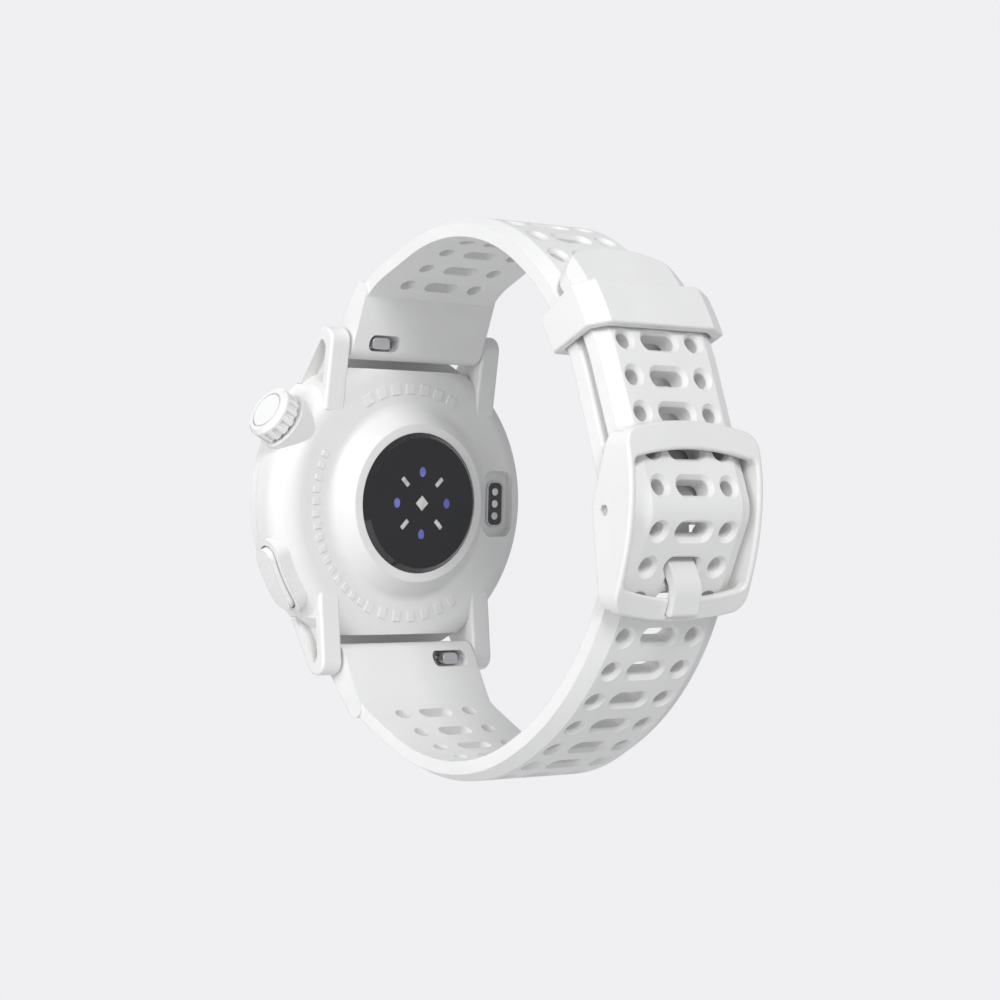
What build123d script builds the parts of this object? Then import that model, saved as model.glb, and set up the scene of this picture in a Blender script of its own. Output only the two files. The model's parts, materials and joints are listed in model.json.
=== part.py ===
from build123d import *

import os
from math import cos, degrees, radians, sin

os.makedirs("parts", exist_ok=True)

# A GPS running watch, fastened into a loop as it is on a wrist.
# +Z is 12 o'clock, +Y points out of the display, and -X is 3 o'clock, the crown's side.
# The origin is the centre of the display glass's outer face. All lengths are millimetres.

# Case, turned about the Y axis
case_r = 20.95
case_top = -2.0
side_end = -4.1
back_y = -7.6
back_edge_r = 17.45
hub_foot_r = 13.0
hub_r = 10.2
hub_y = -9.9
cavity_r = 19.6
shelf_y = -3.2
well_r = 16.4
well_floor = -6.6

# Lugs and spring bars
lug_in = 11.1
lug_wide = 3.1
lug_web = 1.3
bar_y = -6.8
bar_z = 21.0
lug_tip_r = 1.9
lug_round = 0.4
gap_z = 17.7
gap_y = -4.2
bar_tube_r = 0.75
bar_tip_r = 0.4
bar_tube_half = 10.2
bar_tip_end = 11.9
lever_travel = 1.2

# Bezel, glass and display
bezel_top = -0.4
glass_r = 20.3
glass_thick = 1.0
seat_r = 19.0
seal_thick = 0.3
display_r = 16.5
display_thick = 0.9

# Side controls
control_y = -4.2
crown_angle = 151.0
button_angle = 208.5
crown_r = 3.5
crown_base = 21.75
crown_top = 24.2
crown_notches = 16
boss_face = 21.3
stem_r = 0.75
stem_bore_r = 0.95
stem_end = 15.55
button_long = 8.9
button_wide = 3.1
button_base = 20.75
button_top = 22.4
rim_top = 21.6

# Sensor window in the back
window_r = 9.35
window_flat_r = 8.72
window_y = -10.5
window_seat = -8.9
board_r = 8.2
sensor_board_y = -7.8
led_ring_r = 4.17
led_half_wide = 0.52
led_half_tall = 0.68
bar_ring_r = 4.0

# Charging port in the back
port_x = 15.4
port_wide = 5.2
port_tall = 9.0
port_floor = -6.4
block_x = 15.7
pin_pitch = 1.67
pin_r = 0.55

# Strap
strap_thick = 2.6
strap_half_head = 10.85
strap_half_tail = 9.6
row_pitch = 4.61
short_first_row = 10.8
long_first_row = 11.0
hole_x = 5.58
sink_wide = 0.55
sink_deep = 0.65
sink_slope = 42
strap_bevel_drop = 0.9
strap_bevel_wide = 2.0
hole_r = 1.0
slot_long = 5.2
slot_wide = 2.0
roll_r = 2.15
head_long = 7.5
pin_y = -59.0
pin_z = 0.5
buckle_pin_r = 0.65
pin_roll_r = 1.6

# Buckle and keeper
buckle_half = 10.8
buckle_rail = 0.9
buckle_bar = 1.45
tongue_wide = 4.3
tongue_thick = 1.2
pin_sunk = 0.45
keeper_centre_y = -24.1
keeper_centre_z = 5.8
keeper_angle = 147.8
keeper_long = 6.2
keeper_in = 28.1
keeper_out = 36.8
keeper_half = 11.2
keeper_wall = 1.3

clearance = 0.02
tip_side = -1
crown_out = Vector(cos(radians(crown_angle)), 0, sin(radians(crown_angle)))
button_out = Vector(cos(radians(button_angle)), 0, sin(radians(button_angle)))


def side_plane(outward, distance):
    """A plane across a side control's axis, its x along the case's depth, y round the case."""
    origin = outward * distance + Vector(0, control_y, 0)
    return Plane(origin=origin, x_dir=(0, 1, 0), z_dir=outward)


def case_plane(depth):
    """A plane across the case's axis that looks out of the back, its x towards 9 o'clock."""
    return Plane(origin=(0, depth, 0), x_dir=(1, 0, 0), z_dir=(0, -1, 0))


def lug_planes(near, thick):
    """The two planes that a lug feature of one thickness is extruded from, along +X."""
    return [Plane.YZ.offset(near), Plane.YZ.offset(-near - thick)]


# The raised rim round the side button, cut to follow the case's round side
with BuildPart() as button_rim:
    with BuildSketch(side_plane(button_out, 19.0)):
        SlotOverall(button_long + 1.9, button_wide + 1.9, rotation=90)
    extrude(amount=4.0)
    Cylinder(rim_top, 30, rotation=(90, 0, 0), mode=Mode.INTERSECT)

# Lugs: four rounded plates, each narrowing to a round tip at its spring bar
with BuildPart() as lugs:
    with BuildSketch(*lug_planes(lug_in, lug_wide)):
        with Locations((bar_y, bar_z)):
            Circle(lug_tip_r)
        with BuildLine():
            Polyline((-0.6, 15.5), (-1.0, 12.0), (back_y, 12.0), (-0.6, 15.5))
        make_hull()
        mirror(about=Plane.XZ)
    extrude(amount=lug_wide)
    fillet(lugs.faces().filter_by(Axis.X).edges(), lug_round)

# The pockets in the lugs' outer sides, which stop at the case's round side and at a thin web
with BuildPart() as lug_pockets:
    with BuildSketch(*lug_planes(lug_in + lug_web, lug_wide - lug_web + 0.5)) as pocket_outline:
        with BuildLine():
            Polyline((-1.7, 13.0), (-1.7, 15.1), (-6.5, 21.6), (-7.3, 20.3), (-6.4, 13.0), (-1.7, 13.0))
        make_face()
        fillet(pocket_outline.vertices().sort_by(Axis.Y)[-2:], 0.5)
        mirror(about=Plane.XZ)
    extrude(amount=lug_wide - lug_web + 0.5)
    Cylinder(case_r, 30, rotation=(90, 0, 0), mode=Mode.SUBTRACT)

# Case tub with its four lugs, one moulding
with BuildPart() as case_body:
    with BuildSketch(Plane.XY) as tub_profile:
        with BuildLine():
            Polyline((0, case_top), (case_r, case_top), (case_r, side_end))
            RadiusArc((case_r, side_end), (back_edge_r, back_y), case_r - back_edge_r)
            Polyline(
                (back_edge_r, back_y), (hub_foot_r, back_y), (hub_r + 0.4, hub_y), (0, hub_y),
                (0, case_top),
            )
        make_face()
        hub_foot = tub_profile.vertices().sort_by_distance((hub_foot_r, back_y))[0]
        hub_lip = tub_profile.vertices().sort_by_distance((hub_r + 0.4, hub_y))[0]
        fillet(hub_foot, 1.6)
        fillet(hub_lip, 0.5)
    revolve(axis=Axis.Y)

    add(lugs.part)
    add(lug_pockets.part, mode=Mode.SUBTRACT)

    with BuildSketch(side_plane(crown_out, boss_face)):
        Circle(3.9)
    extrude(amount=-3.0, taper=10)
    add(button_rim.part)
    with BuildSketch(side_plane(button_out, button_base - 0.6)):
        SlotOverall(button_long + 0.4, button_wide + 0.4, rotation=90)
    extrude(amount=4.0, mode=Mode.SUBTRACT)

    with Locations((0, case_top / 2 + 0.5, 0)):
        Cylinder(case_r + 0.02, -case_top + 1.0, rotation=(90, 0, 0), mode=Mode.SUBTRACT)

    # The gap between each pair of lugs is cut square across the case for the strap's end.
    for side in (1, -1):
        with Locations((0, gap_y - 4.0, side * (gap_z + 4.0))):
            Box(2 * lug_in, 8.0, 8.0, mode=Mode.SUBTRACT)

    # Inside: a shelf for the inner frame, a well for the battery, and the sensor's bore
    with BuildSketch(Plane.XY):
        with BuildLine():
            Polyline(
                (0, case_top + 1), (cavity_r, case_top + 1), (cavity_r, shelf_y), (well_r, shelf_y),
                (well_r, well_floor), (8.4, well_floor), (8.4, window_seat), (window_r + 0.05, window_seat),
                (window_r + 0.05, hub_y - 1), (0, hub_y - 1), (0, case_top + 1),
            )
        make_face()
    revolve(axis=Axis.Y, mode=Mode.SUBTRACT)
    with Locations((14.0, -5.9, 0)):
        Box(4.4, 1.8, 15.0)

    with BuildSketch(case_plane(port_floor)):
        with Locations((port_x, 0)):
            RectangleRounded(port_wide, port_tall, 1.6)
    extrude(amount=4.0, mode=Mode.SUBTRACT)
    with BuildSketch(case_plane(-4.5)):
        with Locations((block_x, 0)):
            RectangleRounded(2.4 + 2 * clearance, 5.8 + 2 * clearance, 0.8)
    extrude(amount=4.0, mode=Mode.SUBTRACT)
    with BuildSketch(case_plane(-4.5)):
        with Locations((13.25, 0)):
            Circle(0.35)
    extrude(amount=4.0, mode=Mode.SUBTRACT)

    for outward in (crown_out, button_out):
        with BuildSketch(side_plane(outward, 15.0)):
            Circle(stem_bore_r)
        extrude(amount=10.0, mode=Mode.SUBTRACT)
    with BuildSketch(case_plane(shelf_y)):
        with PolarLocations(17.95, 4, start_angle=45):
            Circle(0.5 + clearance)
    extrude(amount=2.0, mode=Mode.SUBTRACT)
    with BuildSketch(Plane.YZ.offset(-bar_tip_end - 0.15)):
        with Locations((bar_y, bar_z), (bar_y, -bar_z)):
            Circle(bar_tip_r + 0.05)
    extrude(amount=2 * bar_tip_end + 0.3, mode=Mode.SUBTRACT)
case_body.part.label = "case_body"

# Bezel ring, its ledge under the glass, and the seal on the ledge
with BuildPart() as bezel_ring:
    with BuildSketch(Plane.XY):
        with BuildLine():
            Polyline(
                (seat_r, case_top), (case_r, case_top), (case_r, bezel_top - 0.35), (case_r - 0.3, bezel_top),
                (glass_r + clearance, bezel_top), (glass_r + clearance, -glass_thick - seal_thick),
                (seat_r, -glass_thick - seal_thick), (seat_r, case_top),
            )
        make_face()
    revolve(axis=Axis.Y)
bezel_ring.part.label = "bezel_ring"

with BuildPart() as glass_seal:
    with BuildSketch(case_plane(-glass_thick)):
        Circle(glass_r - 0.1)
        Circle(seat_r + 0.2, mode=Mode.SUBTRACT)
    extrude(amount=seal_thick)
glass_seal.part.label = "glass_seal"

with BuildPart() as front_glass:
    with BuildSketch(case_plane(0)):
        Circle(glass_r)
    extrude(amount=glass_thick)
    chamfer(front_glass.faces().sort_by(Axis.Y)[-1].edges(), 0.25)
front_glass.part.label = "front_glass"

with BuildPart() as display_module:
    with BuildSketch(case_plane(-glass_thick)):
        Circle(display_r)
    extrude(amount=display_thick)
    with BuildSketch(case_plane(-glass_thick - 0.2)):
        with Locations((0, -display_r)):
            Rectangle(9.0, 2.4)
    extrude(amount=display_thick - 0.4)
display_module.part.label = "display_module"

# Inner frame: a plate under the display and a rim that the screws hold to the shelf
frame_top = -2.05
rim_in = 16.95
rim_out = 18.9
with BuildPart() as inner_frame:
    with BuildSketch(case_plane(frame_top)):
        Circle(rim_out)
    extrude(amount=0.5)
    with BuildSketch(case_plane(frame_top)):
        Circle(rim_out)
        Circle(rim_in, mode=Mode.SUBTRACT)
    extrude(amount=frame_top - shelf_y)
    with Locations(inner_frame.faces().sort_by(Axis.Y)[-1]):
        with PolarLocations(17.95, 4, start_angle=45):
            CounterBoreHole(radius=0.56, counter_bore_radius=0.93, counter_bore_depth=0.55)
inner_frame.part.label = "inner_frame"

with BuildPart() as frame_screws:
    with BuildSketch(case_plane(frame_top - 0.02)):
        with PolarLocations(17.95, 4, start_angle=45):
            Circle(0.9)
    extrude(amount=0.53)
    with BuildSketch(case_plane(frame_top - 0.02)):
        with PolarLocations(17.95, 4, start_angle=45):
            Circle(0.5)
    extrude(amount=2.9)
    with BuildSketch(case_plane(frame_top - 0.02)):
        with PolarLocations(17.95, 4, start_angle=45):
            Rectangle(1.2, 0.22)
            Rectangle(0.22, 1.2)
    extrude(amount=0.25, mode=Mode.SUBTRACT)
frame_screws.part.label = "frame_screws"

with BuildPart() as antenna_ring:
    with BuildSketch(case_plane(-2.2)):
        Circle(cavity_r - 0.05)
        Circle(rim_out + 0.1, mode=Mode.SUBTRACT)
        with Locations((0, 19.2)):
            Rectangle(1.2, 2.0, mode=Mode.SUBTRACT)
    extrude(amount=0.9)
antenna_ring.part.label = "antenna_ring"

with BuildPart() as battery:
    with BuildSketch(case_plane(-2.6)):
        RectangleRounded(21.0, 22.0, 1.2)
    extrude(amount=2.6)
battery.part.label = "battery"

board_y = -5.3
with BuildPart() as main_board:
    with BuildSketch(case_plane(board_y)):
        Circle(16.0)
        with Locations((16.4, 0)):
            Rectangle(10.0, 40.0, mode=Mode.SUBTRACT)
    extrude(amount=0.7)
main_board.part.label = "main_board"

with BuildPart() as shield_can:
    with BuildSketch(case_plane(board_y - 0.7)):
        with Locations((-2.0, 0)):
            RectangleRounded(15.0, 12.0, 0.8)
    extrude(amount=0.55)
shield_can.part.label = "shield_can"

with BuildPart() as vibration_motor:
    with Locations((12.0, -3.8, -5.4)):
        Cylinder(1.15, 6.4)
        Box(2.2, 1.2, 5.0, align=(Align.CENTER, Align.MAX, Align.CENTER))
vibration_motor.part.label = "vibration_motor"

with BuildPart() as buzzer:
    with BuildSketch(case_plane(-3.0)):
        with Locations((0, 13.4)):
            RectangleRounded(7.0, 3.6, 0.6)
    extrude(amount=2.25)
buzzer.part.label = "buzzer"

with BuildPart() as pressure_vent:
    with BuildSketch(case_plane(-4.85)):
        with Locations((13.0, 0)):
            Circle(0.95)
    extrude(amount=0.15)
pressure_vent.part.label = "pressure_vent"

# Optical sensor: a domed black window, pierced for the light pipes that stand on a small board
with BuildPart() as sensor_leds:
    with BuildSketch(case_plane(sensor_board_y)):
        with PolarLocations(led_ring_r, 4, rotate=False):
            Ellipse(led_half_wide, led_half_tall)
    extrude(amount=sensor_board_y - window_y - 0.04)
sensor_leds.part.label = "sensor_leds"

with BuildPart() as sensor_photodiodes:
    with BuildSketch(case_plane(sensor_board_y)):
        with PolarLocations(bar_ring_r, 4, start_angle=45):
            RectangleRounded(1.5, 0.62, 0.12)
    extrude(amount=sensor_board_y - window_y - 0.04)
sensor_photodiodes.part.label = "sensor_photodiodes"

with BuildPart() as sensor_emitter:
    with BuildSketch(case_plane(sensor_board_y)):
        Rectangle(1.5, 1.5, rotation=45)
    extrude(amount=sensor_board_y - window_y - 0.04)
sensor_emitter.part.label = "sensor_emitter"

with BuildPart() as sensor_window:
    with BuildSketch(Plane.XY):
        with BuildLine():
            Polyline(
                (0, window_seat), (window_r, window_seat), (window_r, hub_y + 0.04),
                (window_flat_r, window_y), (0, window_y), (0, window_seat),
            )
        make_face()
    revolve(axis=Axis.Y)
    with BuildSketch(case_plane(window_seat + 1)):
        with PolarLocations(led_ring_r, 4, rotate=False):
            Ellipse(led_half_wide + clearance, led_half_tall + clearance)
        with PolarLocations(bar_ring_r, 4, start_angle=45):
            RectangleRounded(1.5 + 2 * clearance, 0.62 + 2 * clearance, 0.12)
        Rectangle(1.5 + 2 * clearance, 1.5 + 2 * clearance, rotation=45)
    extrude(amount=5.0, mode=Mode.SUBTRACT)
sensor_window.part.label = "sensor_window"

with BuildPart() as sensor_board:
    with BuildSketch(case_plane(sensor_board_y + 0.6)):
        Circle(board_r)
    extrude(amount=0.6)
sensor_board.part.label = "sensor_board"

# Charging contacts: a dark block through the case floor, a trim ring, and three pins
with BuildPart() as charge_block:
    with BuildSketch(case_plane(-4.55)):
        with Locations((block_x, 0)):
            RectangleRounded(2.4, 5.8, 0.8)
            with GridLocations(1, pin_pitch, 1, 3):
                Circle(pin_r + clearance, mode=Mode.SUBTRACT)
    extrude(amount=2.0)
charge_block.part.label = "charge_block"

with BuildPart() as charge_ring:
    with BuildSketch(case_plane(port_floor)):
        with Locations((block_x, 0)):
            RectangleRounded(2.95, 6.3, 1.1)
            RectangleRounded(2.4 + 2 * clearance, 5.8 + 2 * clearance, 0.8, mode=Mode.SUBTRACT)
    extrude(amount=0.3)
charge_ring.part.label = "charge_ring"

with BuildPart() as charge_pins:
    with BuildSketch(case_plane(-4.55)):
        with Locations((block_x, 0)):
            with GridLocations(1, pin_pitch, 1, 3):
                Circle(pin_r)
    extrude(amount=2.2)
    fillet(charge_pins.faces().filter_by(Axis.Y).group_by(Axis.Y)[0].edges(), 0.2)
charge_pins.part.label = "charge_pins"

# Crown: a notched knob on a stem that turns in a collar, and the collar slides when it is pressed.
with BuildPart() as crown_cap:
    with BuildSketch(side_plane(crown_out, crown_base)):
        Circle(crown_r)
    extrude(amount=crown_top - crown_base)
    crown_ends = crown_cap.faces().filter_by(GeomType.PLANE)
    chamfer(crown_ends.sort_by_distance(crown_out * 60)[0].edges(), 0.45)
    with BuildSketch(side_plane(crown_out, crown_base - 0.1)):
        with PolarLocations(crown_r + 0.1, crown_notches):
            RectangleRounded(0.7, 0.62, 0.2)
    extrude(amount=crown_top - crown_base - 0.75, mode=Mode.SUBTRACT)
    with BuildSketch(side_plane(crown_out, crown_top)):
        Circle(2.55)
        Circle(2.35, mode=Mode.SUBTRACT)
    extrude(amount=-0.22, mode=Mode.SUBTRACT)
    with BuildSketch(side_plane(crown_out, crown_base)):
        Circle(stem_r + 0.01)
    extrude(amount=1.0, mode=Mode.SUBTRACT)
crown_cap.part.label = "crown_cap"

with BuildPart() as crown_stem:
    with BuildSketch(side_plane(crown_out, stem_end)):
        Circle(stem_r)
    extrude(amount=crown_base + 1.0 - stem_end)
crown_stem.part.label = "crown_stem"

with BuildPart() as crown_collar:
    with BuildSketch(side_plane(crown_out, stem_end + 0.05)):
        Circle(1.05)
        Circle(stem_r + 0.03, mode=Mode.SUBTRACT)
    extrude(amount=0.4)
crown_collar.part.label = "crown_collar"

# Side button: a capsule cap with its stem, whose outer face follows the case's round side
with BuildPart() as button_cap:
    with BuildSketch(side_plane(button_out, button_base)):
        SlotOverall(button_long, button_wide, rotation=90)
    extrude(amount=3.0)
    Cylinder(button_top, 30, rotation=(90, 0, 0), mode=Mode.INTERSECT)
    with BuildSketch(side_plane(button_out, button_base)):
        Circle(stem_r + 0.01)
    extrude(amount=1.0, mode=Mode.SUBTRACT)
button_cap.part.label = "button_cap"

with BuildPart() as button_stem:
    with BuildSketch(side_plane(button_out, stem_end)):
        Circle(stem_r)
    extrude(amount=button_base + 1.0 - stem_end)
    with BuildSketch(side_plane(button_out, stem_end + 0.05)):
        Circle(1.05)
    extrude(amount=0.35)
button_stem.part.label = "button_stem"


def stem_ring(outward, name):
    """The rubber ring that keeps water out round a stem, in the stem's bore."""
    with BuildPart() as ring:
        with BuildSketch(side_plane(outward, 18.6)):
            Circle(stem_bore_r)
            Circle(stem_r + 0.02, mode=Mode.SUBTRACT)
        extrude(amount=0.8)
    ring.part.label = name
    export_step(ring.part, "parts/" + name + ".step")


def side_switch(outward, name):
    """The small switch on the board that a stem presses, with its plunger."""
    with BuildPart() as switch:
        with BuildSketch(side_plane(outward, 13.2)):
            Rectangle(2.0, 3.0)
        extrude(amount=1.6)
        with BuildSketch(side_plane(outward, 14.8)):
            Circle(0.5)
        extrude(amount=0.3)
    switch.part.label = name
    export_step(switch.part, "parts/" + name + ".step")


stem_ring(crown_out, "crown_seal")
stem_ring(button_out, "button_seal")
side_switch(crown_out, "crown_switch")
side_switch(button_out, "button_switch")

# Strap side views, in Y and Z. Each path is the strap's mid-line from its spring bar.
short_points = [(bar_y, bar_z), (-8.67, 27.96), (-30.4, 38.3), (-49.75, 25.8), (pin_y, pin_z)]
short_path = FilletPolyline(*short_points, radius=[13, 22, 31])
long_points = [
    (bar_y, -bar_z), (-9.65, -26.6), (-30.5, -36.3), (-52.5, -23.6), (-62.63, 0.76), (-56.02, 17.60),
]
long_run = FilletPolyline(*long_points, radius=[15, 25, 35.5, 4.0])
long_path = Wire(long_run.edges() + [JernArc(long_run @ 1, long_run % 1, 33.9, -28.8)])
short_path = Wire(short_path.edges())
taper_rate = (strap_half_head - strap_half_tail) / (bar_y - pin_y)


def outward_at(route, share, turn):
    """The direction out of the wrist loop at a share of a strap's path; turn is 1 on the short strap."""
    along = route.tangent_at(share)
    return Vector(0, along.Y * turn, -along.X * turn)


def across_strap(route, distance, turn):
    """A plane that lies in the strap at a distance along its path, its z out of the wrist loop."""
    share = distance / route.length
    spot = route.position_at(share)
    return Plane(origin=(0, spot.X, spot.Y), x_dir=(1, 0, 0), z_dir=outward_at(route, share, turn))


def outer_long_edges(side_face, route, turn):
    """The edges of a strap's side that run along its outer face."""
    shares = [step / 300 for step in range(301)]
    spots = [route.position_at(share) for share in shares]
    chosen = []
    for edge in side_face.edges():
        middle = edge.position_at(0.5)
        flat_middle = Vector(middle.Y, middle.Z, 0)
        nearest = min(range(301), key=lambda step: (spots[step] - flat_middle).length)
        across = flat_middle - spots[nearest]
        outward = outward_at(route, shares[nearest], turn)
        if across.X * outward.Y + across.Y * outward.Z > strap_thick / 2 - 0.3:
            chosen.append(edge)
    return chosen


def row_cutters(route, first, count, turn):
    """Rows of one slot between two round holes, as solids to cut from a strap, sunk on its outer face."""
    with BuildPart() as cutters:
        for row in range(count):
            middle = across_strap(route, first + row * row_pitch, turn)
            with BuildSketch(middle.offset(-2.0)):
                with Locations((-hole_x, 0), (hole_x, 0)):
                    Circle(hole_r)
                SlotOverall(slot_long, slot_wide)
            extrude(amount=4.0)
            with BuildSketch(middle.offset(strap_thick / 2 + 0.05)):
                with Locations((-hole_x, 0), (hole_x, 0)):
                    Circle(hole_r + sink_wide)
                SlotOverall(slot_long + 2 * sink_wide, slot_wide + 2 * sink_wide)
            extrude(amount=-sink_deep, taper=sink_slope)
    return cutters.part


# The strap's outline as seen from 12 o'clock, narrower away from the case
with BuildPart() as strap_outline:
    far_half = strap_half_head - taper_rate * 70
    with BuildSketch(Plane.XY.offset(-60)):
        with BuildLine():
            Polyline(
                (strap_half_head, 0), (far_half, -70), (-far_half, -70), (-strap_half_head, 0),
                (strap_half_head, 0),
            )
        make_face()
    extrude(amount=120)

# Short strap, from the 12 o'clock lugs to the buckle pin
with BuildPart() as short_strap:
    with BuildSketch(Plane.YZ):
        with BuildLine():
            add(short_path)
        trace(line_width=strap_thick)
    extrude(amount=14, both=True)
    add(strap_outline.part, mode=Mode.INTERSECT)
    for end in (0, -1):
        side = short_strap.faces().sort_by(Axis.X)[end]
        chamfer(outer_long_edges(side, short_path, 1), strap_bevel_drop, strap_bevel_wide, reference=side)
    with BuildSketch(Plane.YZ):
        with Locations((bar_y, bar_z)):
            Circle(roll_r)
        with Locations(tuple(short_path.position_at(head_long / short_path.length))[:2]):
            Circle(strap_thick / 2)
        make_hull()
    extrude(amount=strap_half_head, both=True)
    with BuildSketch(Plane.YZ):
        with Locations((pin_y, pin_z)):
            Circle(pin_roll_r)
    extrude(amount=strap_half_tail - 0.05, both=True)
    with BuildSketch(Plane.YZ.offset(-20)):
        with Locations((bar_y, bar_z)):
            Circle(bar_tube_r + 0.03)
        with Locations((pin_y, pin_z)):
            Circle(buckle_pin_r + 0.05)
    extrude(amount=40, mode=Mode.SUBTRACT)
    with Locations((0, pin_y, pin_z)):
        Box(tongue_wide + 0.5, 5.0, 4.6, mode=Mode.SUBTRACT)
    add(row_cutters(short_path, short_first_row, 13, 1), mode=Mode.SUBTRACT)
    with BuildSketch(case_plane(bar_y)):
        with Locations((-5.9, bar_z)):
            RectangleRounded(5.0, 2.1, 0.9)
    extrude(amount=6.0, mode=Mode.SUBTRACT)
short_strap.part.label = "short_strap"

# Long strap, from the 6 o'clock lugs through the buckle to its free end under the keeper
tongue_path = FilletPolyline(
    (pin_y, pin_z), (-59.5, -4.2), (-61.9, -8.4), (-61.2, -11.9), radius=[5.0, 2.6],
)
with BuildPart() as long_strap:
    with BuildSketch(Plane.YZ):
        with BuildLine():
            add(long_path)
        trace(line_width=strap_thick)
    extrude(amount=14, both=True)
    add(strap_outline.part, mode=Mode.INTERSECT)
    for end in (0, -1):
        side = long_strap.faces().sort_by(Axis.X)[end]
        chamfer(outer_long_edges(side, long_path, -1), strap_bevel_drop, strap_bevel_wide, reference=side)
    with BuildSketch(Plane.YZ):
        with Locations((bar_y, -bar_z)):
            Circle(roll_r)
        with Locations(tuple(long_path.position_at(head_long / long_path.length))[:2]):
            Circle(strap_thick / 2)
        make_hull()
    extrude(amount=strap_half_head, both=True)
    with BuildSketch(Plane.YZ.offset(-20)):
        with Locations((bar_y, -bar_z)):
            Circle(bar_tube_r + 0.03)
    extrude(amount=40, mode=Mode.SUBTRACT)
    add(row_cutters(long_path, long_first_row, 20, -1), mode=Mode.SUBTRACT)
    with BuildSketch(Plane.YZ):
        with BuildLine():
            add(tongue_path)
        trace(line_width=tongue_thick + 1.5)
    extrude(amount=tongue_wide / 2 + 0.2, both=True, mode=Mode.SUBTRACT)
    with BuildSketch(across_strap(long_path, long_path.length, -1)) as tip_corners:
        with Locations((0, tip_side * 1.0)):
            Rectangle(30, 10)
        with Locations((0, tip_side * 6.0)):
            Ellipse(9.9, 6.1, mode=Mode.SUBTRACT)
    extrude(amount=2.6, both=True, mode=Mode.SUBTRACT)
    with BuildSketch(case_plane(bar_y)):
        with Locations((6.45, -bar_z)):
            RectangleRounded(5.7, 2.1, 0.9)
    extrude(amount=6.0, mode=Mode.SUBTRACT)
long_strap.part.label = "long_strap"

# Buckle frame: a curved front, cut to two cross bars and two side rails with ears for the pin
front_points = [(-61.4, 11.6), (-62.9, 7.9), (-63.6, 0.5), (-62.6, -6.0), (-60.3, -12.8)]
with BuildPart() as buckle_frame:
    with BuildSketch(Plane.YZ) as frame_side:
        with BuildLine() as frame_line:
            front = Spline(*front_points)
            Polyline(front @ 1, (-58.9, -12.4), (-56.9, 0.9), (-59.7, 11.2), front @ 0)
        make_face()
        fillet(frame_side.vertices().sort_by(Axis.X)[-1], 1.2)
    extrude(amount=buckle_half, both=True)
    with BuildSketch(Plane.YZ) as behind_bars:
        with BuildLine():
            inner = Spline(*[(y + buckle_bar, z) for y, z in front_points])
            Polyline(inner @ 1, (-50.0, -20.0), (-50.0, 20.0), inner @ 0)
        make_face()
    extrude(amount=buckle_half - buckle_rail, both=True, mode=Mode.SUBTRACT)
    with BuildSketch(case_plane(-50)) as opening:
        with BuildLine():
            Line((-9.9, -8.5), (-9.9, 6.7))
            ThreePointArc((-9.9, 6.7), (0, 7.9), (9.9, 6.7))
            Line((9.9, 6.7), (9.9, -8.5))
            ThreePointArc((9.9, -8.5), (0, -9.8), (-9.9, -8.5))
        make_face()
        fillet(opening.vertices(), 0.9)
    extrude(amount=20, mode=Mode.SUBTRACT)
    with BuildSketch(case_plane(-50)) as frame_outline:
        with BuildLine():
            Line((-10.8, -11.2), (-10.8, 9.8))
            ThreePointArc((-10.8, 9.8), (0, 11.3), (10.8, 9.8))
            Line((10.8, 9.8), (10.8, -11.2))
            ThreePointArc((10.8, -11.2), (0, -12.5), (-10.8, -11.2))
        make_face()
        fillet(frame_outline.vertices(), 2.4)
    extrude(amount=20, mode=Mode.INTERSECT)
    fillet(buckle_frame.faces().sort_by(Axis.Y)[0].edges(), 0.35)
    with BuildSketch(Plane.YZ):
        with Locations((pin_y, pin_z)):
            Circle(buckle_pin_r)
    extrude(amount=20, both=True, mode=Mode.SUBTRACT)
    with BuildSketch(Plane.YZ):
        with BuildLine():
            add(tongue_path)
        trace(line_width=tongue_thick + 0.16)
    extrude(amount=tongue_wide / 2 + 0.15, both=True, mode=Mode.SUBTRACT)
buckle_frame.part.label = "buckle_frame"

with BuildPart() as buckle_pin:
    with BuildSketch(Plane.YZ):
        with Locations((pin_y, pin_z)):
            Circle(buckle_pin_r)
    extrude(amount=buckle_half - pin_sunk, both=True)
    chamfer(buckle_pin.faces().filter_by(Axis.X).edges(), 0.15)
buckle_pin.part.label = "buckle_pin"

with BuildPart() as buckle_tongue:
    with BuildSketch(Plane.YZ):
        with BuildLine():
            add(tongue_path)
        trace(line_width=tongue_thick)
        with Locations((pin_y, pin_z)):
            Circle(1.35)
            Circle(buckle_pin_r + 0.04, mode=Mode.SUBTRACT)
    extrude(amount=tongue_wide / 2, both=True)
    tongue_end = buckle_tongue.faces().sort_by(Axis.Z)[0]
    fillet(tongue_end.edges().filter_by(Axis.X), 0.5)
buckle_tongue.part.label = "buckle_tongue"

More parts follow.
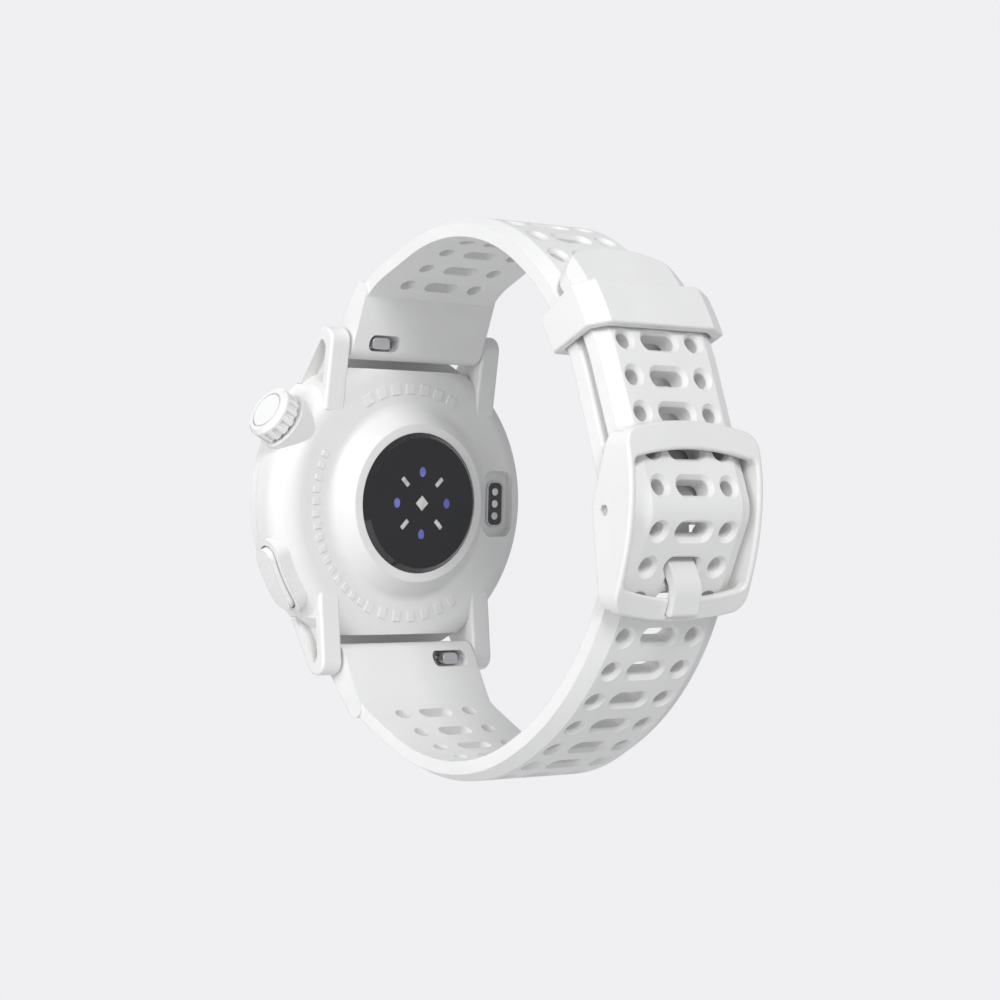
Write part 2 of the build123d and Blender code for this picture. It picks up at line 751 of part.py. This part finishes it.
# Keeper: a free loop round both straps, bent to the wrist loop, with bevelled outer corners
keeper_centre = Vector(0, keeper_centre_y, keeper_centre_z)
keeper_along = Vector(0, sin(radians(keeper_angle)), -cos(radians(keeper_angle)))
with BuildPart() as strap_keeper:
    section = Plane(origin=keeper_centre, x_dir=(1, 0, 0), z_dir=-keeper_along)
    with BuildSketch(section) as keeper_section:
        with BuildLine():
            Polyline(
                (-keeper_half, keeper_in + 0.6), (-keeper_half, 35.3), (-8.35, keeper_out), (8.35, keeper_out),
                (keeper_half, 35.3), (keeper_half, keeper_in + 0.6), (keeper_half - 0.8, keeper_in),
                (-keeper_half + 0.8, keeper_in), (-keeper_half, keeper_in + 0.6),
            )
        make_face()
        offset(amount=-keeper_wall, mode=Mode.SUBTRACT)
    half_turn = degrees(keeper_long / 2 / keeper_out)
    revolve(axis=Axis(keeper_centre, (1, 0, 0)), revolution_arc=half_turn)
    revolve(keeper_section.sketch, axis=Axis(keeper_centre, (-1, 0, 0)), revolution_arc=half_turn)
    end_faces = [face for face in strap_keeper.faces().filter_by(GeomType.PLANE) if face.area > 20]
    fillet([edge for face in end_faces if abs(face.normal_at().X) < 0.1 for edge in face.edges()], 0.3)
strap_keeper.part.label = "strap_keeper"

# Spring bars: a tube, a fixed tip, and a sprung tip whose lever shows in the strap's window
for bar_name, bar_side, lever_side in (("upper", 1, -1), ("lower", -1, 1)):
    axis_plane = Plane(origin=(0, bar_y, bar_side * bar_z), x_dir=(0, 1, 0), z_dir=(lever_side, 0, 0))
    lever_near, lever_far = (5.0, 7.8) if bar_name == "upper" else (5.5, 7.9)
    with BuildPart() as bar_tube:
        with BuildSketch(axis_plane.offset(-bar_tube_half)):
            Circle(bar_tube_r)
            Circle(bar_tip_r + 0.1, mode=Mode.SUBTRACT)
        extrude(amount=2 * bar_tube_half)
        with BuildSketch(axis_plane.offset(lever_near - lever_travel - 0.3)):
            with Locations((-1.0, 0)):
                Rectangle(2.0, 0.8)
        extrude(amount=lever_far - lever_near + lever_travel + 0.6, mode=Mode.SUBTRACT)
    with BuildPart() as bar_slider:
        with BuildSketch(axis_plane.offset(lever_near)):
            Circle(bar_tip_r)
        extrude(amount=bar_tip_end - lever_near)
        with BuildSketch(axis_plane.offset(lever_near + 0.2)):
            with Locations((-1.1, 0)):
                Rectangle(2.2, 0.6)
        extrude(amount=lever_far - lever_near - 0.4)
        with BuildSketch(case_plane(bar_y - 1.3)):
            with Locations((lever_side * (lever_near + lever_far) / 2, bar_side * bar_z)):
                RectangleRounded(lever_far - lever_near, 1.5, 0.6)
        extrude(amount=0.95)
    with BuildPart() as bar_fixed_tip:
        with BuildSketch(axis_plane.offset(-bar_tip_end)):
            Circle(bar_tip_r)
        extrude(amount=2.4)
        with BuildSketch(axis_plane.offset(-bar_tube_half)):
            Circle(bar_tip_r + 0.1)
        extrude(amount=0.7)
    with BuildPart() as bar_spring:
        spring_start = -bar_tip_end + 2.5
        spring_length = lever_near - lever_travel - 0.1 - spring_start
        with BuildSketch(axis_plane.offset(spring_start)):
            Circle(bar_tip_r)
            Circle(bar_tip_r - 0.17, mode=Mode.SUBTRACT)
        extrude(amount=spring_length)
    bar_pieces = {"tube": bar_tube, "slider": bar_slider, "fixed_tip": bar_fixed_tip, "spring": bar_spring}
    for kind, piece in bar_pieces.items():
        piece.part.label = bar_name + "_bar_" + kind
        export_step(piece.part, "parts/" + piece.part.label + ".step")

for piece in (
    case_body, bezel_ring, glass_seal, front_glass, display_module, inner_frame, frame_screws, antenna_ring,
    battery, main_board, shield_can, vibration_motor, buzzer, pressure_vent, sensor_window, sensor_board,
    sensor_leds, sensor_photodiodes, sensor_emitter, charge_block, charge_ring, charge_pins, crown_cap,
    crown_stem, crown_collar, button_cap, button_stem, short_strap, long_strap, buckle_frame, buckle_pin,
    buckle_tongue, strap_keeper,
):
    export_step(piece.part, "parts/" + piece.part.label + ".step")
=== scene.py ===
# %% [markdown]
# A GPS running watch, fastened into a loop and seen from behind.
# Its engineering model is loaded first and stays as it is: it gives every place and size.
# This script adds the studio, the camera, the finishes and the small printed and moulded details.

# %% Load the model
import json
import math

import bpy
from mathutils import Matrix, Vector


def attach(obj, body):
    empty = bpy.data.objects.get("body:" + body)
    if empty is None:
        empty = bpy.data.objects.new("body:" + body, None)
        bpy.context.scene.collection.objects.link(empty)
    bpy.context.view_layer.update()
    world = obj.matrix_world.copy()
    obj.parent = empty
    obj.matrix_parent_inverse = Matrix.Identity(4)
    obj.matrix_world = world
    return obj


MM = 0.001
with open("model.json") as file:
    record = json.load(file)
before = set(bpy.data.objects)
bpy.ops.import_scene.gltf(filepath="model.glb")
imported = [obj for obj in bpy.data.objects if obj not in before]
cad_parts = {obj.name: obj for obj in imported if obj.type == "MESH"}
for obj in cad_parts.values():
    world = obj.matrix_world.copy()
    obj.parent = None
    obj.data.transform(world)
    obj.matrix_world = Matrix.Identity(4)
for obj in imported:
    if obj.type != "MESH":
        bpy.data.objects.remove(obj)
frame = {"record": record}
bpy.ops.object.select_all(action="DESELECT")
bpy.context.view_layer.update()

# %% [markdown]
# The camera looks at the back of the watch from its crown side, at the height of the case.
# It is placed by two angles and a distance, then moved aside so that the whole loop is in view.
# It could also be aimed by a Track To constraint, but the small roll is easier to state as an angle.
# A long lens keeps the near and the far side of the loop about the same size.

# %% Camera
camera_turn = math.radians(-39.46)
camera_rise = math.radians(0.80)
camera_roll = math.radians(1.62)
camera_away = 354.7 * MM
case_left_of_centre = 17.05 * MM
case_below_centre = 0.137 * MM
sensor_width = 36
lens_length = 93.5

backward = Vector((
    math.sin(camera_turn) * math.cos(camera_rise),
    -math.cos(camera_turn) * math.cos(camera_rise),
    math.sin(camera_rise),
))
level_right = Vector((math.cos(camera_turn), math.sin(camera_turn), 0))
level_up = backward.cross(level_right)
right = level_right * math.cos(camera_roll) + level_up * math.sin(camera_roll)
up = level_up * math.cos(camera_roll) - level_right * math.sin(camera_roll)
place = right * case_left_of_centre + up * case_below_centre + backward * camera_away

bpy.ops.object.camera_add()
camera = bpy.context.object
camera.name = "product_camera"
camera.data.sensor_width = sensor_width
camera.data.lens = lens_length
camera.data.clip_start = 10 * MM
turn = Matrix((right, up, backward)).transposed()
camera.matrix_world = Matrix.Translation(place) @ turn.to_4x4()
bpy.context.scene.camera = camera
print("camera stands at", [round(value, 4) for value in place])

# %% [markdown]
# A white product on a pale ground is lit mostly by the room itself. Here the room is the world:
# one colour for what the camera sees behind the watch, and a dimmer one for the light it gives,
# because a world as bright as the backdrop would wash out the white. A real photographer gets
# the same by lighting the backdrop on its own.

# %% The room
backdrop_colour = (0.871, 0.863, 0.888, 1)
bounce_colour = (0.95, 0.96, 1.0, 1)
bounce_strength = 0.42

scene = bpy.context.scene
scene.view_settings.view_transform = "Standard"
scene.view_settings.look = "None"
room = bpy.data.worlds.new("pale_room")
room.use_nodes = True
sky = room.node_tree
backdrop = sky.nodes["Background"]
backdrop.inputs["Color"].default_value = backdrop_colour
bounce = sky.nodes.new("ShaderNodeBackground")
bounce.inputs["Color"].default_value = bounce_colour
bounce.inputs["Strength"].default_value = bounce_strength
seen = sky.nodes.new("ShaderNodeLightPath")
either = sky.nodes.new("ShaderNodeMixShader")
sky.links.new(seen.outputs["Is Camera Ray"], either.inputs["Fac"])
sky.links.new(bounce.outputs["Background"], either.inputs[1])
sky.links.new(backdrop.outputs["Background"], either.inputs[2])
sky.links.new(either.outputs["Shader"], sky.nodes["World Output"].inputs["Surface"])
scene.world = room
print("the room gives light at", bounce_strength)

# %% [markdown]
# Three soft boxes shape the round forms: a strong one behind and above, one on the crown's side,
# and a weak one in front of the display. Each is a square area lamp, turned to face the watch.
# The floor is a plain pale disc. It lies well below the watch, so no shadow comes into view.

# %% Lamps and floor
watch_middle = Vector((0, -30 * MM, 0))


def soft_lamp(name, spot, size, watts):
    """A square soft box that faces the middle of the watch."""
    bpy.ops.object.light_add(type="AREA", location=spot)
    lamp = bpy.context.object
    lamp.name = name
    lamp.data.shape = "SQUARE"
    lamp.data.size = size
    lamp.data.energy = watts
    aim = watch_middle - Vector(spot)
    lamp.rotation_euler = aim.to_track_quat("-Z", "Y").to_euler()


soft_lamp("high_soft_box", (-0.25, -0.60, 0.45), size=0.25, watts=3.4)
soft_lamp("crown_side_soft_box", (-0.60, -0.08, 0.12), size=0.35, watts=2.0)
soft_lamp("front_soft_box", (0.10, 0.60, 0.30), size=0.5, watts=1.2)

floor_radius = 0.6
floor_depth = 0.25
bpy.ops.mesh.primitive_circle_add(
    vertices=96, radius=floor_radius, fill_type="NGON",
    location=(watch_middle.x, watch_middle.y, -floor_depth),
)
floor = bpy.context.object
floor.name = "studio_floor"
bpy.ops.object.transform_apply(location=True)
bpy.ops.object.select_all(action="DESELECT")
print("floor lies", floor_depth, "m below the middle of the display")

# %% [markdown]
# Every finish here is a moulded or machined surface at a small scale.
# One helper makes the common base: a colour that drifts a little, a roughness that varies with
# a fine grain, and a fine bump from the same grain. A picture could be wrapped round each piece
# instead, but noise in the piece's own coordinates needs no seams and no unwrapping.
# A Bevel node softens how sharp edges take the light, by bending normals within its radius.


# %% A helper for fine-grained finishes
edge_radius = 0.15 * MM
grain_depth = 0.02 * MM
drift_ends = (0.3, 0.7)


def grained(name, low, high, rough, grain, bump, slow=70.0):
    """A surface whose colour drifts from low to high, with a fine grain on top.

    rough is the least and the greatest roughness. grain and slow are noise scales, per metre.
    """
    finish = bpy.data.materials.new(name)
    finish.use_nodes = True
    tree = finish.node_tree
    shader = tree.nodes["Principled BSDF"]
    where = tree.nodes.new("ShaderNodeTexCoord")

    drift = tree.nodes.new("ShaderNodeTexNoise")
    drift.inputs["Scale"].default_value = slow
    drift.inputs["Detail"].default_value = 3
    tree.links.new(where.outputs["Object"], drift.inputs["Vector"])
    colour = tree.nodes.new("ShaderNodeValToRGB")
    for stop, position, shade in zip(colour.color_ramp.elements, drift_ends, (low, high)):
        stop.position = position
        stop.color = (*shade, 1)
    tree.links.new(drift.outputs["Fac"], colour.inputs["Fac"])
    tree.links.new(colour.outputs["Color"], shader.inputs["Base Color"])

    fine = tree.nodes.new("ShaderNodeTexNoise")
    fine.inputs["Scale"].default_value = grain
    fine.inputs["Detail"].default_value = 2
    tree.links.new(where.outputs["Object"], fine.inputs["Vector"])
    roughness = tree.nodes.new("ShaderNodeMapRange")
    roughness.inputs["To Min"].default_value = rough[0]
    roughness.inputs["To Max"].default_value = rough[1]
    tree.links.new(fine.outputs["Fac"], roughness.inputs["Value"])
    tree.links.new(roughness.outputs["Result"], shader.inputs["Roughness"])

    edge = tree.nodes.new("ShaderNodeBevel")
    edge.samples = 4
    edge.inputs["Radius"].default_value = edge_radius
    relief = tree.nodes.new("ShaderNodeBump")
    tree.links.new(edge.outputs["Normal"], relief.inputs["Normal"])
    relief.inputs["Strength"].default_value = bump
    relief.inputs["Distance"].default_value = grain_depth
    tree.links.new(fine.outputs["Fac"], relief.inputs["Height"])
    tree.links.new(relief.outputs["Normal"], shader.inputs["Normal"])
    return finish


def shader_of(finish):
    """The sockets of a finish's own shader, for values that are the same all over."""
    return finish.node_tree.nodes["Principled BSDF"].inputs


# %% [markdown]
# The case, the bezel and the buckle are white reinforced polymer with a fine satin surface.
# The strap is silicone: drier and softer, with a faint sheen where light grazes it.
# The controls are handled all day, so they are a little smoother than the case.

# %% White finishes
case_white = grained("case_white_polymer", (0.74, 0.74, 0.73), (0.78, 0.78, 0.77),
                     rough=(0.38, 0.50), grain=4200, bump=0.35)
bezel_white = grained("bezel_white_polymer", (0.75, 0.75, 0.74), (0.79, 0.79, 0.78),
                      rough=(0.32, 0.42), grain=3600, bump=0.25)
control_white = grained("control_white_polymer", (0.76, 0.76, 0.75), (0.81, 0.81, 0.80),
                        rough=(0.24, 0.34), grain=3000, bump=0.18)
buckle_white = grained("buckle_white_polymer", (0.73, 0.73, 0.715), (0.77, 0.77, 0.76),
                       rough=(0.36, 0.46), grain=4000, bump=0.3)
silicone_white = grained("strap_white_silicone", (0.74, 0.74, 0.73), (0.79, 0.79, 0.78),
                         rough=(0.52, 0.64), grain=5200, bump=0.5)
shader_of(silicone_white)["Sheen Weight"].default_value = 0.12
shader_of(silicone_white)["Sheen Roughness"].default_value = 0.5
print("white finishes made")

# %% [markdown]
# The sensor window is polished black, and the light pipes set into it are clear plastic over
# violet and white chips. A thin coat on the window and the glass gives them a second, sharper
# reflection. The cover glass is tinted and lets part of the light through, so that the numbers
# under it show; a fully clear glass would show too much of what lies around the display.

# %% Window, light pipes and glass
window_black = grained("sensor_black_window", (0.006, 0.006, 0.007), (0.010, 0.010, 0.012),
                       rough=(0.05, 0.09), grain=900, bump=0.02)
shader_of(window_black)["Coat Weight"].default_value = 0.6
pipe_violet = grained("led_violet_pipe", (0.10, 0.12, 0.42), (0.20, 0.22, 0.60),
                      rough=(0.12, 0.20), grain=2500, bump=0.05, slow=900)
pipe_white = grained("sensor_white_pipe", (0.42, 0.42, 0.41), (0.75, 0.75, 0.72),
                     rough=(0.12, 0.22), grain=2500, bump=0.05, slow=1100)
glass_tint = grained("cover_tinted_glass", (0.012, 0.012, 0.014), (0.018, 0.018, 0.02),
                     rough=(0.03, 0.06), grain=600, bump=0.01)
shader_of(glass_tint)["Alpha"].default_value = 0.45
shader_of(glass_tint)["Coat Weight"].default_value = 1.0
display_black = grained("display_black_panel", (0.010, 0.010, 0.012), (0.016, 0.016, 0.018),
                        rough=(0.15, 0.22), grain=1800, bump=0.03)
print("window, light pipe and glass finishes made")

# %% [markdown]
# The charging port's block and trim are seen from outside. Most inner pieces are hidden while
# the watch is closed, but each still gets the finish of its own material: moulded grey plastic,
# black rubber, a green board, a foil pouch. The same helper makes them all.

# %% Finishes of the port and the inner pieces
dark_plastic = grained("dark_grey_polymer", (0.045, 0.045, 0.05), (0.07, 0.07, 0.075),
                       rough=(0.38, 0.5), grain=3000, bump=0.3)
seal_black = grained("black_seal_rubber", (0.02, 0.02, 0.02), (0.04, 0.04, 0.04),
                     rough=(0.55, 0.7), grain=3500, bump=0.4)
trim_grey = grained("port_grey_trim", (0.52, 0.52, 0.52), (0.62, 0.62, 0.62),
                    rough=(0.3, 0.4), grain=3200, bump=0.2)
inner_grey = grained("inner_grey_polymer", (0.12, 0.12, 0.13), (0.18, 0.18, 0.19),
                     rough=(0.45, 0.6), grain=3000, bump=0.3)
board_green = grained("board_green_mask", (0.015, 0.10, 0.05), (0.03, 0.17, 0.09),
                      rough=(0.25, 0.4), grain=1500, bump=0.2, slow=400)
pouch_silver = grained("battery_foil", (0.5, 0.5, 0.52), (0.66, 0.66, 0.68),
                       rough=(0.3, 0.45), grain=1200, bump=0.5)
membrane_white = grained("vent_white_membrane", (0.7, 0.7, 0.7), (0.82, 0.82, 0.82),
                         rough=(0.6, 0.8), grain=6000, bump=0.6)
print("port and inner finishes made")

# %% [markdown]
# Turned and drawn steel shows fine lines along the way it was made. The same helper makes it:
# a Mapping node squeezes the coordinates along one axis, which draws the grain out into lines.
# Anisotropic shading could suggest the lines too, but real streaks hold up in close views.


# %% Metals
streak_squeeze = (0.08, 1, 1)


def metal(name, low, high, rough):
    """A drawn metal whose grain runs across the watch."""
    finish = grained(name, low, high, rough, grain=2600, bump=0.3, slow=300)
    shader_of(finish)["Metallic"].default_value = 1.0
    tree = finish.node_tree
    stretch = tree.nodes.new("ShaderNodeMapping")
    stretch.inputs["Scale"].default_value = streak_squeeze
    where = next(node for node in tree.nodes if node.type == "TEX_COORD")
    tree.links.new(where.outputs["Object"], stretch.inputs["Vector"])
    for noise in [node for node in tree.nodes if node.type == "TEX_NOISE"]:
        tree.links.new(stretch.outputs["Vector"], noise.inputs["Vector"])
    return finish


steel = metal("drawn_steel", (0.74, 0.74, 0.75), (0.86, 0.86, 0.87), rough=(0.34, 0.48))
antenna_gold = metal("antenna_plating", (0.62, 0.44, 0.22), (0.76, 0.56, 0.30), rough=(0.25, 0.4))
print("metals made")

# %% [markdown]
# The model's own pieces keep their meshes. Each takes the finish of its slot in the record,
# so a piece can't be forgotten: a slot with no finish stops the script.

# %% Finishes on the model's own pieces
finishes = {
    "case_polymer": case_white, "bezel_polymer": bezel_white, "control_polymer": control_white,
    "buckle_polymer": buckle_white, "strap_silicone": silicone_white, "sensor_black": window_black,
    "led_violet": pipe_violet, "sensor_white": pipe_white, "display": display_black,
    "dark_polymer": dark_plastic, "seal_rubber": seal_black, "port_trim": trim_grey,
    "inner_polymer": inner_grey, "circuit_board": board_green, "battery_pouch": pouch_silver,
    "vent_membrane": membrane_white, "cover_glass": glass_tint, "steel": steel,
    "antenna_metal": antenna_gold,
}
slots = {row["node"]: row["material_slot"] for row in frame["record"]["subparts"]}
for node, slot in slots.items():
    piece = bpy.data.objects[node]
    piece.data.materials.clear()
    piece.data.materials.append(finishes[slot])
print("finished", len(slots), "pieces of the model")

# %% [markdown]
# The display shows the time, a date and seconds as plain numbers in Blender's own typeface.
# They could be painted in the material, but thin solid numbers stay sharp at any distance.
# Text is made a mesh before it is turned to face out of the glass, and it lies just under it.

# %% Numbers on the display
text_depth = 0.95 * MM
text_thickness = 0.02 * MM
display_lines = (
    {"name": "display_time", "words": "10:08", "height": 9.5 * MM, "middle_z": 1.5 * MM},
    {"name": "display_seconds", "words": "42", "height": 4.2 * MM, "middle_z": -6.5 * MM},
    {"name": "display_date", "words": "18", "height": 3.4 * MM, "middle_z": 9.0 * MM},
)
face_ink = grained("display_ink", (0.70, 0.74, 0.72), (0.82, 0.86, 0.84),
                   rough=(0.3, 0.4), grain=3000, bump=0.05)


def display_text(name, words, height, middle_z):
    """A line of numbers, centred on the display and facing out of it."""
    bpy.ops.object.text_add()
    text = bpy.context.object
    text.name = name
    text.data.body = words
    text.data.size = height
    text.data.align_x = "CENTER"
    text.data.align_y = "CENTER"
    text.data.extrude = text_thickness
    bpy.ops.object.convert(target="MESH")
    text = bpy.context.object
    text.rotation_euler = (math.radians(90), 0, math.radians(180))
    text.location = (0, -text_depth, middle_z)
    bpy.ops.object.transform_apply(location=True, rotation=True)
    text.data.materials.append(face_ink)
    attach(text, "watch")
    bpy.ops.object.select_all(action="DESELECT")


for line in display_lines:
    display_text(**line)
print("lines of numbers on the display:", len(display_lines))

# %% [markdown]
# The back of the case carries small raised marks in three arcs, where a maker would put words.
# For each arc one mark is modelled at 12 o'clock: a bar, bevelled all round, half sunk in the
# flat of the back. Copies of it are turned about the case's axis, so every mark keeps the same
# distance from the rim. An Array with an object offset could place them too, but plain copies
# with their own meshes leave nothing live behind.

# %% Raised marks on the back
mark_radius = 15.3 * MM
mark_face = -7.6 * MM
mark_thickness = 0.24 * MM
mark_bevel = 0.06 * MM
mark_arcs = (
    {"first": -28, "past_last": 30, "step": 9, "long": 1.5 * MM, "high": 1.5 * MM},
    {"first": -150, "past_last": -62, "step": 6, "long": 0.9 * MM, "high": 1.0 * MM},
    {"first": 150, "past_last": 205, "step": 9, "long": 1.2 * MM, "high": 1.5 * MM},
)


def back_mark(long, high):
    """A raised bar at 12 o'clock, bevelled all round."""
    bpy.ops.mesh.primitive_cube_add(size=1, location=(0, mark_face, mark_radius))
    mark = bpy.context.object
    mark.name = "mark"
    mark.scale = (long, mark_thickness, high)
    bpy.ops.object.transform_apply(location=True, scale=True)
    bevel = mark.modifiers.new("soft_edge", "BEVEL")
    bevel.width = mark_bevel
    bevel.segments = 2
    bpy.ops.object.modifier_apply(modifier=bevel.name)
    mark.data.materials.append(case_white)
    return mark


def select_only(pieces):
    """Selects the given pieces and nothing else, with the first one active."""
    bpy.ops.object.select_all(action="DESELECT")
    for piece in pieces:
        piece.select_set(True)
    bpy.context.view_layer.objects.active = pieces[0]


marks = []
for arc in mark_arcs:
    pattern = back_mark(arc["long"], arc["high"])
    for degrees_round in range(arc["first"], arc["past_last"], arc["step"]):
        select_only([pattern])
        bpy.ops.object.duplicate()
        mark = bpy.context.object
        mark.rotation_euler = (0, math.radians(degrees_round), 0)
        bpy.ops.object.transform_apply(rotation=True)
        marks.append(mark)
    select_only([pattern])
    bpy.ops.object.delete()
select_only(marks)
bpy.ops.object.join()
back_marks = bpy.context.object
back_marks.name = "back_marks"
bpy.ops.object.select_all(action="DESELECT")
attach(back_marks, "watch")
print("raised marks on the back:", len(marks))
